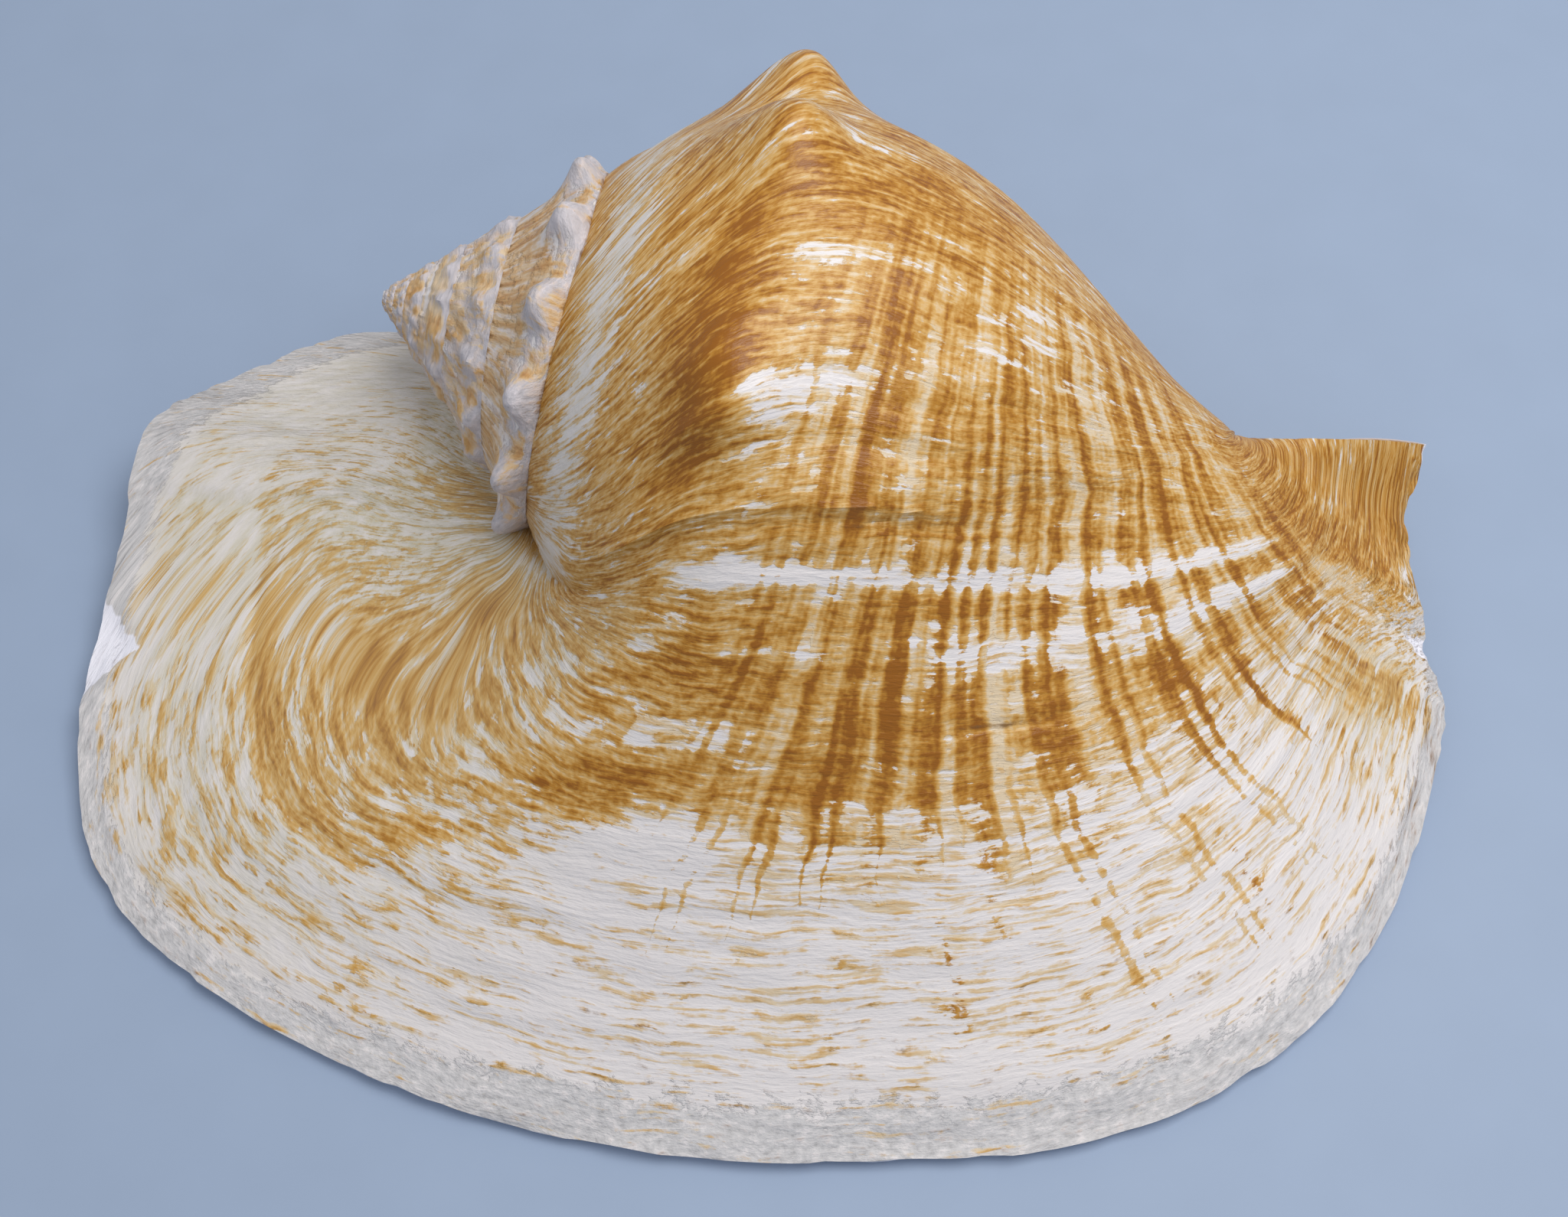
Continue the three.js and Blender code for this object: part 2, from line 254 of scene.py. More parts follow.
# Where chalk starts at the lip: a place, and steps over stations
CHALK_EDGE = 0.85
CHALK_EDGE_STEPS = [((3, 4.2), 0.05), ((7, 9), -0.07), ((11.5, 13.5), 0.06)]
CHALK_LIP = 0.995
CANAL_STEP = (15.6, 16.2)
CHALKY_CORNER = (15.5, 0.4)
CHALKY_CORNER_PLACES = (0.6, 0.8)

# Olive stain: steps over stations, and the patch at the right margin
OLIVE_STEPS = [((3, 4.6), -0.25), ((6, 8.5), -0.75)]
OLIVE_MARGIN = (14.4, 0.7, 0.8, 0.25)

# Random relief of the wall: length along the growth and along the edge in millimetres, height and
# seed. Ribs run the other way, so their first length is along the edge.
WRINKLES = [(9, 70, 1, 1), (3.4, 45, 0.6, 2)]
QUILTING = [(3.1, 13, 1, 14)]
FOLDS = [(4.2, 26, 1, 16)]
RIBS = [(5.5, 70, 1, 3)]
PITS = [(4, 6, 1, 4), (1.8, 2.6, 0.7, 5)]
PIT_DEPTH = 0.5
QUILTED_PLACES = (0.4, 0.65)
WORN_PLACES = (0.88, 0.98)
FOLD_PLACE = (-0.2, 0.2)
FOLD_HEIGHT = 0.9
FOLDED_STATIONS = ((5, 7), (12, 14))
RIBBED_PLACES = ((0, 0.15), (0.7, 0.95))
RIBBED_STATIONS = ((7, 9), (15, 16.5))

# Ridges that old lips have left, with the groove before them: growth, half-width and height
OLD_LIPS = [(-7, 1.6, 1.3), (-11, 1.3, 0.78), (-14.5, 1.2, 0.65), (-4, 1.4, -0.65)]
OLD_LIP_STATIONS = ((4.5, 6), (10, 12.5))
GROOVE_GROWTH = -4.0
GROOVE_STATIONS = ((5, 6), (9.5, 11))
LEDGE_PLACE = (0.7, 0.012)
LEDGE_DEPTH = 0.5
LEDGE_STATIONS = ((3.6, 4.4), (7, 9))
CRACK_GROWTH = 33.0
CRACK_STATION = 11.6
CRACK_DEPTH = 0.7

# Front of the enamel layer on the lobe, as stations and places
LAYER_FRONT = ((0.8, 1.6, 2.3, 3.0, 3.3, 3.6), (0.62, 0.42, 0.44, 0.58, 0.75, 1.2))
LAYER_HEIGHT = 0.7

# Millimetres lost from the lip's outside and inside faces. Nibbles: how many per station, seed and
# both losses. Breaks: station, half-width and both losses.
NIBBLES = [(3.1, 7, 0.7, 0.4), (9.7, 8, 0.5, 0.3)]
BREAKS = [(4.62, 0.3, 0.6, 0), (15.2, 0.22, 4, 0.5)]
TIP_STATIONS = (17.5, 18)
TIP_LOSS = (5, 0.5)
LOSS_PLACES = (0.78, 1)
FLAKE_HEIGHT = 0.7

# Fresh chips in the lip: station, half-width, and depth as a share of the wing
CHIPS = [(4.62, 0.38, 0.105), (15.22, 0.2, 0.15)]
CHIP_EDGE = (0.004, 0.016)
CHIP_DEPTH = 0.8

# Glaze inside the mouth: where it ends towards the lip, where the lip is bare, and where it starts
# on the coil, as a share of a turn
GLAZE_END = (0.93, 0.985)
BARE_EDGE = (0.95, 1)
COIL_GLAZE = (0.02, 0.14)

# Two marks that each UV map carries
MARK_MAPS = {
    "growth": ("growth", "edge length"),
    "fan": ("spiral", "stripes"),
    "pigment": ("pigment", "olive"),
    "wear": ("chalk", "bare"),
    "zone": ("glaze", "grime_and_shade"),
    "spire": ("spire", "age"),
}

# Patterns in the surface: size along the growth and along the growing edge in millimetres, detail
# and roughness
PATTERNS = {
    "lines": (1.3, 9, 4, 0.58),
    "bands": (4.5, 22, 2, 0.5),
    "threads": (0.9, 24, 3, 0.55),
    "flakes": (4.4, 7, 6, 0.62),
    "specks": (1.2, 1.7, 2, 0.5),
    "crumbs": (1.3, 2.6, 5, 0.6),
    "broad stripes": (70, 4.4, 2, 0.5),
}

# How growth lines sway along the growth and the growing edge: lengths and distances in millimetres
SWAY_LENGTHS = (12, 20)
SWAY_GROWTH = 3
SWAY_EDGE = 2.5

# Double stripes: half the gap between the lines, and how the lines thin out, each from one growth
# to another; the growth that they fade over; a distance beyond any line; a line's edge; and the
# share that each mark lets show
STRIPE_GAP = (20, 90, 2.0, 1.1)
STRIPE_THINNING = (15, 60, 0.42, 1)
STRIPE_FADE = 12
FAR_OFF = 100
STRIPE_EDGE = (0.2, 1.0)
STRIPE_SHARES = {
    "pigment": (0.3, 0.55, 1, 0.45),
    "stripes": (0, 0.5, 0, 1),
    "growth": (-40, 0, 0.35, 1),
}

# What each layer adds up to: the mark that it starts from, and the weight of each pattern. Patterns
# vary about 0.5, and those in CENTRED about 0.
LAYERS = {
    "skin": ("pigment", {
        "lines": 0.7, "bands": 0.5, "flakes": 0.95, "crumbs": 0.45, "striped": 0.6, "pairs": 0.34,
    }),
    "tone": ("pigment", {
        "calm lines": 1.5, "bands": 0.6, "specks": 0.6, "striped": 1.9, "pairs": 0.3,
    }),
    "thin": ("pigment", {
        "threads": 1.1, "bands": 0.8, "lines": 1, "flakes": 0.7, "specks": 0.4, "stripes": 0.11,
    }),
    "worn": ("chalk", {"flakes": 0.9, "crumbs": 0.6}),
    "dirt_and_shade": ("grime_and_shade", {"lines": 1, "crumbs": 0.8}),
}
CENTRED = ("pairs", "striped", "stripes", "calm lines")

# Where each layer starts and where it is full, and how much it covers there
COVERS = {
    "skin": (0.35, 0.45, 1),
    "thin": (0.2, 0.5, 0.95),
    "worn": (0.4, 0.54, 0.95),
    "dirt_and_shade": (0.25, 0.75, 0.85),
    "bare": (0.35, 0.65, 1),
}

# Gloss of the skin, of chalk and of the glazed mouth, the refraction of aragonite, and the bump
SKIN_ROUGHNESS = 0.34
CHALK_ROUGHNESS = 0.75
GLAZE_ROUGHNESS = 0.22
ARAGONITE_IOR = 1.53
SPECULAR_LEVEL = 0.34
BUMP_STRENGTH = 0.7
BUMP_HEIGHT = 0.0006
FLOOR_ROUGHNESS = 0.6
FLOOR_MOTTLE = 0.02

# The stage, in metres and degrees
GROUND_DEPTH = 0.1
SMOOTH_ANGLE = 40.0
FLOOR_SIZE = 6.0
TARGET_HEIGHT = 0.0315
CLIP_START = 0.01
KEY_LIGHT_PLACE = (0.34, 0.12, 0.94)
KEY_LIGHT_SIZE = 0.7


def linear(code):
    """An sRGB hex colour such as 8A4A0C as linear red, green and blue."""
    parts = [int(code[i:i + 2], 16) / 255 for i in (0, 2, 4)]
    return tuple(c / 12.92 if c <= 0.04045 else ((c + 0.055) / 1.055) ** 2.4 for c in parts)


def colour_property(name, description, code):
    return FloatVectorProperty(
        name=name, description=description, default=linear(code), subtype="COLOR", size=3, min=0, max=1
    )


def number_property(name, description, default, **settings):
    return FloatProperty(name=name, description=description, default=default, **settings)


class ConchShape(PropertyGroup):
    """Sizes of the shell that a user would change."""

    whorl_growth: number_property(
        "Whorl growth", "Size of one whorl over the last", 1.56, min=1.2, max=2
    )
    body_wall: number_property("Body wall", "Thickness of the body whorl", 0.005, unit="LENGTH")
    wing_wall: number_property("Wing wall", "Thickness at the wing's root", 0.0046, unit="LENGTH")
    lip_wall: number_property("Lip wall", "Thickness at the wing's edge", 0.0036, unit="LENGTH")
    growth_relief: number_property("Growth relief", "Height of the wrinkles", 0.0003, unit="LENGTH")
    rib_relief: number_property("Rib relief", "Height of the wing's ribs", 0.0003, unit="LENGTH")
    wear_relief: number_property("Wear relief", "Depth of pits at the lip", 0.0006, unit="LENGTH")


class ConchColours(PropertyGroup):
    """Colours of the shell, its floor and the light around it."""

    white: colour_property("White", "Bare enamel on the wing", "E3DCD9")
    # Ivory is kept darker than the shell's own tone there, as painted shade on the left of the wing
    ivory: colour_property("Ivory", "Bare layers on the lobe and the left of the wing", "CCC4B0")
    cream: colour_property("Cream", "Thin pigment", "DBC5A3")
    tan: colour_property("Tan", "Light pigment", "D0A45E")
    ochre: colour_property("Ochre", "Pigment on the back and the wing", "B67D28")
    brown: colour_property("Brown", "Dense pigment", "93580A")
    chalk: colour_property("Chalk", "Worn shell at the lip and on the spire", "D0CCCA")
    stone: colour_property("Stone", "The oldest whorls of the spire", "A8A2A6")
    # This colour also paints shade along the lip, most at the right
    grime_and_shade: colour_property("Grime", "Dirt in pits and sutures", "77532B")
    lilac: colour_property("Lilac", "Fresh chips and the chalk on the spire's knobs", "F2EFF5")
    # On the spire rose tints the stain, and with it the painted shade between the knobs and on one
    # side of each knob
    rose: colour_property("Rose", "Stain between the spire's knobs", "C99F7E")
    olive: colour_property("Olive", "Stain on the lobe", "BFB187")
    glaze: colour_property("Glaze", "The glazed inside of the mouth", "EBC9AE")
    floor: colour_property("Floor", "The plain floor", "95A5BC")
    sky: colour_property("Sky", "Light from all around", "EEF2FA")


class ConchStage(PropertyGroup):
    """Where the camera stands and how bright the lights are."""

    elevation: number_property("Elevation", "Angle above level", math.radians(62), subtype="ANGLE")
    distance: number_property("Distance", "From the camera to its target", 0.468, unit="LENGTH")
    lens: number_property("Lens", "Focal length in millimetres", 50, min=10, max=200)
    key_light: number_property("Key light", "Power of the large light above", 7.2, unit="POWER")
    fill_light: number_property("Fill light", "Strength of the light all around", 0.56, min=0, max=3)


def unit(vectors):
    return vectors / np.linalg.norm(vectors, axis=-1, keepdims=True)


def smooth(value, low, high):
    part = np.clip((value - low) / (high - low), 0, 1)
    return part * part * (3 - 2 * part)


def over(value, rise=None, fall=None):
    """1 after a soft step up over rise and before a soft step down over fall; None leaves one out."""
    share = 1.0 if rise is None else smooth(value, *rise)
    return share if fall is None else share * (1 - smooth(value, *fall))


def bell(value, middle, width):
    return np.exp(-(((value - middle) / width) ** 2))


def through(points, place):
    """A smooth curve through evenly spaced points, with place 0 at the first."""
    last = len(points) - 1
    padded = np.vstack([2 * points[0] - points[1], points, 2 * points[last] - points[last - 1]])
    place = np.asarray(place, float)
    first = np.clip(np.floor(place).astype(int), 0, last - 1)
    part = (place - first)[..., None]
    before, low, high, after = (padded[first + i] for i in range(4))
    leave, arrive = (high - before) / 2, (after - low) / 2
    square, cube = part ** 2, part ** 3
    return (
        (2 * cube - 3 * square + 1) * low
        + (cube - 2 * square + part) * leave
        + (3 * square - 2 * cube) * high
        + (cube - square) * arrive
    )


def rough(x, y, seed):
    """Smooth random heights from -1 to 1 that change about once in each unit square."""
    size = 64
    table = np.random.default_rng(seed).uniform(-1, 1, (size, size))
    left, low = np.floor(x).astype(int), np.floor(y).astype(int)
    across, up = smooth(x - left, 0, 1), smooth(y - low, 0, 1)
    at = [[table[(left + i) % size, (low + j) % size] for j in (0, 1)] for i in (0, 1)]
    bottom = at[0][0] * (1 - across) + at[1][0] * across
    top = at[0][1] * (1 - across) + at[1][1] * across
    return bottom * (1 - up) + top * up


TURN, DIP = math.radians(AXIS_TURN), math.radians(AXIS_DIP)
UP = np.array([0.0, 0.0, 1.0])
AXIS = np.array([math.cos(TURN) * math.cos(DIP), -math.sin(TURN) * math.cos(DIP), -math.sin(DIP)])
BACK = unit(UP - AXIS * (UP @ AXIS))
FRONT = np.cross(AXIS, BACK)


def around(along, radius, angle):
    """Points at a distance along the axis and out from it: angle 0 is the back, 90 the front."""
    turn = np.radians(angle)[..., None]
    out = np.cos(turn) * BACK + np.sin(turn) * FRONT
    return APEX + np.asarray(along)[..., None] * AXIS + np.asarray(radius)[..., None] * out


def whorl(shape, angle, station):
    """The body whorl, and the whorl before it that the mouth looks in on."""
    angle, station = np.broadcast_arrays(np.asarray(angle, float), np.asarray(station, float))
    row = through(STATIONS, station)
    widening = np.where(angle > 0, smooth(station, 0, FULL_GROWTH_STATION), 1.0)
    scale = shape.whorl_growth ** (angle / 360 * widening)
    climb = 1 - smooth(station, 0, CLIMB_STATION)
    along = row[..., 0] * np.where(angle < 0, 1 - (1 - scale) * climb, 1.0)
    from_underside = (angle % 360) - 180
    flattening = UNDERSIDE_FLATTENING * bell(from_underside, 0, UNDERSIDE_SPREAD)
    radius = row[..., 1] * scale * (1 - flattening)
    for knob_angle, knob_along, width, height in KNOBS:
        across = np.radians(angle - knob_angle) * KNOB_RADIUS
        radius = radius + height * np.exp(-(across ** 2 + (along - knob_along) ** 2) / width ** 2)
    return around(along, radius, angle)


def wing(shape, across, station):
    """The wing, from the whorl at across = 0 to the edge of the lip at across = 1."""
    across, station = np.broadcast_arrays(np.asarray(across, float), np.asarray(station, float))
    row = through(STATIONS, station)
    start, edge = row[..., 2], row[..., 3:6]
    root = whorl(shape, start, station)
    reach = np.linalg.norm(edge - root, axis=-1, keepdims=True)
    chord = (edge - root) / reach
    tangent = unit(whorl(shape, start + 1, station) - whorl(shape, start - 1, station))
    level = LEVEL_SHARE * np.clip((LEVEL_STATION - station) / LEVEL_SPAN, 0, 1)
    canal = CANAL_SHARE * np.clip((station - CANAL_STATION) / CANAL_SPAN, 0, 1)
    straight = (level + canal)[..., None]
    leave = unit(tangent * (1 - straight) + chord * straight)
    slope = np.radians(LIP_SLOPE) * np.clip(station / LEVEL_STATION, LEAST_SLOPE, 1)[..., None]
    arrive = UP * np.sin(slope) - unit(chord * (1, 1, 0)) * np.cos(slope)
    leaving = root + leave * reach * ROOT_REACH
    arriving = edge + arrive * reach * LIP_REACH
    t = across[..., None]
    return (
        (1 - t) ** 3 * root
        + 3 * (1 - t) ** 2 * t * leaving
        + 3 * (1 - t) * t ** 2 * arriving
        + t ** 3 * edge
    )


def growth_of(across, back, station):
    """Millimetres of growth from the wing's root, which stay the same along a growth line.
    back is how many degrees a point lies behind the root; it is 0 on the wing."""
    place = across - back / BACK_SPAN
    unbent = smooth(across, *UNBENT_PLACES) * over(station, fall=UNBENT_STATIONS)
    canal = through(CANAL_LEAN, station)[..., 0] * (1 - unbent)
    root = through(ROOT_LEAN, station)[..., 0] * over(place, *ROOT_LEAN_PLACES)
    lobe = through(LOBE_LEAN, station)[..., 0] * smooth(place, *LOBE_LEAN_PLACES)
    return WING_LENGTH * (across - canal + root + lobe) - BACK_LENGTH_PER_DEGREE * back


def spiral_of(across, back, station):
    """Millimetres across the growing edge, which stay the same along a spiral stripe."""
    fan = np.clip(across - FAN_START, 0, FAN_MOST) * smooth(station, *FAN_STATIONS)
    lean = STRIPE_LEAN * back * smooth(station, *LEANING_STATIONS)
    return STATION_WIDTH * (station + fan + lean)


def relief_of(rows, growth, spiral):
    """Random heights that add up from rows of length, width, height and seed."""
    return sum(high * rough(growth / along, spiral / wide, seed) for along, wide, high, seed in rows)


def wall_relief(shape, across, back, station, growth, spiral):
    """Height of wrinkles, ribs and worn places above the smooth wall, in millimetres."""
    place = across - back / BACK_SPAN
    wrinkles = relief_of(WRINKLES, growth, spiral)
    quilting = relief_of(QUILTING, growth, spiral) * smooth(across, *QUILTED_PLACES)
    ribs = relief_of(RIBS, spiral, growth) * over(across, *RIBBED_PLACES)
    old_lips = sum(high * bell(growth, at, wide) for at, wide, high in OLD_LIPS)
    ledge = bell(across, *LEDGE_PLACE) * over(station, *LEDGE_STATIONS)
    folds = relief_of(FOLDS, growth, spiral) * bell(place, *FOLD_PLACE)
    crack = bell(growth, CRACK_GROWTH, 1.2) * bell(station, CRACK_STATION, 0.7)
    pits = (relief_of(PITS, growth, spiral) - PIT_DEPTH) * smooth(across, *WORN_PLACES)
    layer = smooth(lobe_layer(across, station), -0.02, 0.02)
    return (
        shape.growth_relief / MM * (wrinkles + quilting)
        + shape.rib_relief / MM * ribs * over(station, *RIBBED_STATIONS)
        + shape.wear_relief / MM * pits
        + old_lips * over(station, *OLD_LIP_STATIONS)
        + FOLD_HEIGHT * folds * over(station, *FOLDED_STATIONS)
        + LAYER_HEIGHT * layer
        - LEDGE_DEPTH * ledge
        - CRACK_DEPTH * crack
        - CHIP_DEPTH * fresh_chips(across, station)
    )


def lobe_layer(across, station):
    """Above 0 on the thin enamel layer that lies over the lobe, with a ragged front."""
    return across - np.interp(station, *LAYER_FRONT) + 0.03 * rough(station * 4, across * 9, 6)


def lip_loss(station):
    """Millimetres broken from the lip's outside and inside faces."""
    damage = [(smooth(station, *TIP_STATIONS), TIP_LOSS)]
    for often, seed, *loss in NIBBLES:
        damage.append((np.maximum(0, rough(station * often, station * 0, seed)) ** 2, loss))
    for middle, wide, *loss in BREAKS:
        damage.append((bell(station, middle, wide), loss))
    return [sum(amount * loss[face] for amount, loss in damage) for face in (0, 1)]


def fresh_chips(across, station):
    """1 where the outer layer has come off at the lip and white shell shows, and 0 elsewhere."""
    depth = np.zeros_like(across)
    for middle, wide, deepest in CHIPS:
        depth = np.maximum(depth, deepest * (1 - np.abs(station - middle) / wide))
    ragged = 0.008 * rough(station * 12, across * 30, 15)
    return smooth(across - 1 + depth + ragged, *CHIP_EDGE)


def wall_surface(shape, across, behind, station):
    """The wing where behind is 0, and the whorl behind it, with the unit normals that face out."""
    start = through(STATIONS, station)[..., 2]
    angle = start + (MOUTH_ANGLE - start) * behind
    body = (behind > 0)[..., None]
    points = np.where(body, whorl(shape, angle, station), wing(shape, across, station))
    normals = unit(np.cross(np.gradient(points, axis=0), np.gradient(points, axis=1)))
    return points, normals, start - angle


def wall_marks(across, back, station, growth):
    """Pigment, stripes, chalk, a darkening mark that is partly painted shade, and olive stain on the
    wall's outside, each from 0 to 1.
    """
    place = across - back / BACK_SPAN
    pigment = FULL_PIGMENT
    for _, enter, leave, rise, fall, amount in BROAD_PIGMENT:
        pigment = pigment + amount * over(station, enter, leave) * over(place, rise, fall)
    for _, middle, height, wide, high, amount in PIGMENT_AND_LIGHT_PATCHES:
        pigment = pigment + amount * bell(station, middle, wide) * bell(place, height, high)
    for _, middle, wide, enter, leave, amount in WHITE_BANDS:
        pigment = pigment + amount * bell(growth, middle, wide) * over(station, enter, leave)
    stripes = over(station, *STRIPED_STATIONS) * over(place, *STRIPED_PLACES)

    edge = CHALK_EDGE + sum(amount * smooth(station, *step) for step, amount in CHALK_EDGE_STEPS)
    layer = smooth(lobe_layer(across, station), -0.03, 0.05) * over(station, fall=(3.4, 4))
    chalk = 0.9 * smooth(across, edge, CHALK_LIP) * (1 - 0.7 * smooth(station, *CANAL_STEP))
    corner = bell(station, *CHALKY_CORNER) * smooth(across, *CHALKY_CORNER_PLACES)
    chalk = np.maximum(chalk + 0.1 * layer, 0.6 * corner)

    # The darkening mark: along the groove before an old lip, in the crack and over the outer wing at
    # the right; along the lip it is painted shade, twice as strong at the right
    groove = bell(growth, GROOVE_GROWTH, 0.9) * over(station, *GROOVE_STATIONS)
    crack = bell(growth, CRACK_GROWTH, 0.9) * bell(station, CRACK_STATION, 0.6)
    lip = (1 + smooth(station, 12, 14)) * smooth(across, 0.84, 0.96)
    outer_wing = smooth(place, 0.6, 0.8) * smooth(station, 7, 9)
    grime_and_shade = np.maximum.reduce([0.3 * groove, 0.6 * crack, 0.16 * lip, 0.15 * outer_wing])

    olive = 1 + sum(amount * smooth(station, *step) for step, amount in OLIVE_STEPS)
    middle, wide, height, high = OLIVE_MARGIN
    olive = olive + 0.8 * bell(station, middle, wide) * bell(place, height, high) - 0.35 * layer
    olive = olive * (0.5 + 0.5 * smooth(place, -0.05, 0.1)) * (1 - 0.5 * smooth(across, 0.86, 0.96))
    return np.clip(pigment, 0, 1), stripes, np.clip(chalk, 0, 1), np.clip(grime_and_shade, 0, 1), olive


def grow_wall(shape):
    """The wall of the body whorl and the wing: rows of points, one closed loop for each station,
    and for each point its growth, its spiral and its marks."""
    outside = np.concatenate([np.linspace(1, 0, WING_COLUMNS + 1)[:-1], np.zeros(BACK_COLUMNS + 1)])
    behind = np.concatenate([np.zeros(WING_COLUMNS), np.linspace(0, 1, BACK_COLUMNS + 1)])
    inside = np.concatenate([
        np.zeros(BACK_INSIDE_COLUMNS + 1), np.linspace(0, 1, WING_INSIDE_COLUMNS + 1)[1:]
    ])
    inside_behind = np.concatenate([
        np.linspace(1, 0, BACK_INSIDE_COLUMNS + 1), np.zeros(WING_INSIDE_COLUMNS)
    ])
    station = np.linspace(0, LAST, STATION_ROWS + 1)[:, None]
    row = through(STATIONS, station[:, 0])
    length = np.linalg.norm(row[:, 3:6] - whorl(shape, row[:, 2], station[:, 0]), axis=-1)[:, None]
    lost_outside, lost_inside = lip_loss(station)

    across, behind, rows = np.broadcast_arrays(outside[None], behind[None], station)
    across = across - lost_outside / length * smooth(across, *LOSS_PLACES)
    outer, out_normals, back = wall_surface(shape, across, behind, rows)
    growth = growth_of(across, back, rows)
    spiral = spiral_of(across, back, rows)
    steps = np.linalg.norm(np.diff(outer, axis=0), axis=-1)
    edge_length = np.concatenate([np.zeros_like(outer[:1, :, 0]), np.cumsum(steps, axis=0)])
    edge_length = edge_length - edge_length[STATION_ROWS * MIDDLE_STATION // LAST]
    outer = outer + out_normals * wall_relief(shape, across, back, rows, growth, spiral)[..., None]

    in_across, in_behind, in_rows = np.broadcast_arrays(inside[None], inside_behind[None], station)
    in_across = in_across - lost_inside / length * smooth(in_across, *LOSS_PLACES)
    inner, in_normals, in_back = wall_surface(shape, in_across, in_behind, in_rows)
    thickness = shape.wing_wall + (shape.lip_wall - shape.wing_wall) * in_across
    thickness = np.where(in_behind > 0, shape.body_wall, thickness) / MM
    inner = inner + in_normals * thickness[..., None]

    turn = np.arange(1, COIL_COLUMNS + 1)[None] / COIL_COLUMNS
    coil = whorl(shape, MOUTH_ANGLE - 360 * turn, station)
    layer = (np.arange(EDGE_LAYERS) + 1)[None, :, None] / (EDGE_LAYERS + 1)
    edge = inner[:, -1:] * (1 - layer) + outer[:, :1] * layer
    flake = rough(station * 6, np.arange(EDGE_LAYERS)[None] * 1.7, 9)
    outward = unit(outer[:, :1] - outer[:, 3:4])
    edge = edge + outward * FLAKE_HEIGHT * flake[..., None]
    points = np.concatenate([outer, coil, inner, edge, outer[:, :1]], axis=1)

    pigment, stripes, chalk, grime_and_shade, olive = wall_marks(across, back, rows, growth)
    bare = fresh_chips(across, rows)
    none = np.zeros_like(across)
    in_glaze, in_bare = 1 - smooth(in_across, *GLAZE_END), smooth(in_across, *BARE_EDGE)
    coil_growth = growth[:, -1:] - BACK_LENGTH_PER_DEGREE * 360 * turn
    in_growth = growth_of(in_across, in_back, in_rows)
    # For each map two marks, as their values on the outside, the coil, the inside and the edge
    marks = {
        "growth": (
            (growth, coil_growth, in_growth, growth[:, :1]),
            (edge_length, edge_length[:, -1:], STATION_WIDTH * in_rows, edge_length[:, :1]),
        ),
        "fan": ((spiral, 0, 0, 0), (stripes, 0, 0, 0)),
        "pigment": ((pigment, 0.35, 0, 0.2), (olive, 0, 0, 0)),
        "wear": ((chalk, 0, 0, 0.6), (bare, 0, in_bare, 1)),
        "zone": ((none, smooth(turn, *COIL_GLAZE), in_glaze, 0), (grime_and_shade, 0, 0, 0.1)),
        "spire": ((none, 0, 0, 0), (none, 0, 0, 0)),
    }
    parts = (outer, coil, inner, edge)
    maps = {name: tuple(fill_loop(values, parts) for values in pair) for name, pair in marks.items()}
    return close_ends(points, maps, outer, inner)


def fill_loop(values, parts):
    """The values of a mark along whole loops, with the first column again at the end."""
    blocks = [np.broadcast_to(value, part.shape[:2]) for value, part in zip(values, parts)]
    return np.concatenate([*blocks, blocks[0][:, :1]], axis=1)


def close_ends(points, maps, outer, inner):
    """A row more at each end, where the wall's two faces meet and the coil runs to a point."""
    narrow = inner.shape[1]
    outside_place = np.concatenate([
        np.linspace(narrow - 1, BACK_INSIDE_COLUMNS, WING_COLUMNS + 1)[:-1],
        np.linspace(BACK_INSIDE_COLUMNS, 0, BACK_COLUMNS + 1),
    ])
    match = np.rint(outside_place).astype(int)
    nearest = [int(np.argmin(np.abs(outside_place - i))) for i in range(narrow)]
    rows = []
    for row, tip in ((0, BODY_START), (-1, CANAL_POINT)):
        middle = (outer[row, nearest] + inner[row]) / 2
        point = around(tip, 0.0, 0.0)
        edge = [middle[-1]] * (EDGE_LAYERS + 1)
        rows.append(np.concatenate([middle[match], [point] * COIL_COLUMNS, middle, edge]))
    points = np.concatenate([rows[0][None], points, rows[1][None]])
    padded = {
        name: tuple(np.concatenate([v[:1], v, v[-1:]]) for v in pair) for name, pair in maps.items()
    }
    return points, padded


def spire_size(shape, turn):
    last = 1 + (SPIRE_END_SIZE - 1) * smooth(turn, SPIRE_STALL, SPIRE_END)
    return np.where(turn <= 0, shape.whorl_growth ** np.minimum(turn, 0), last)


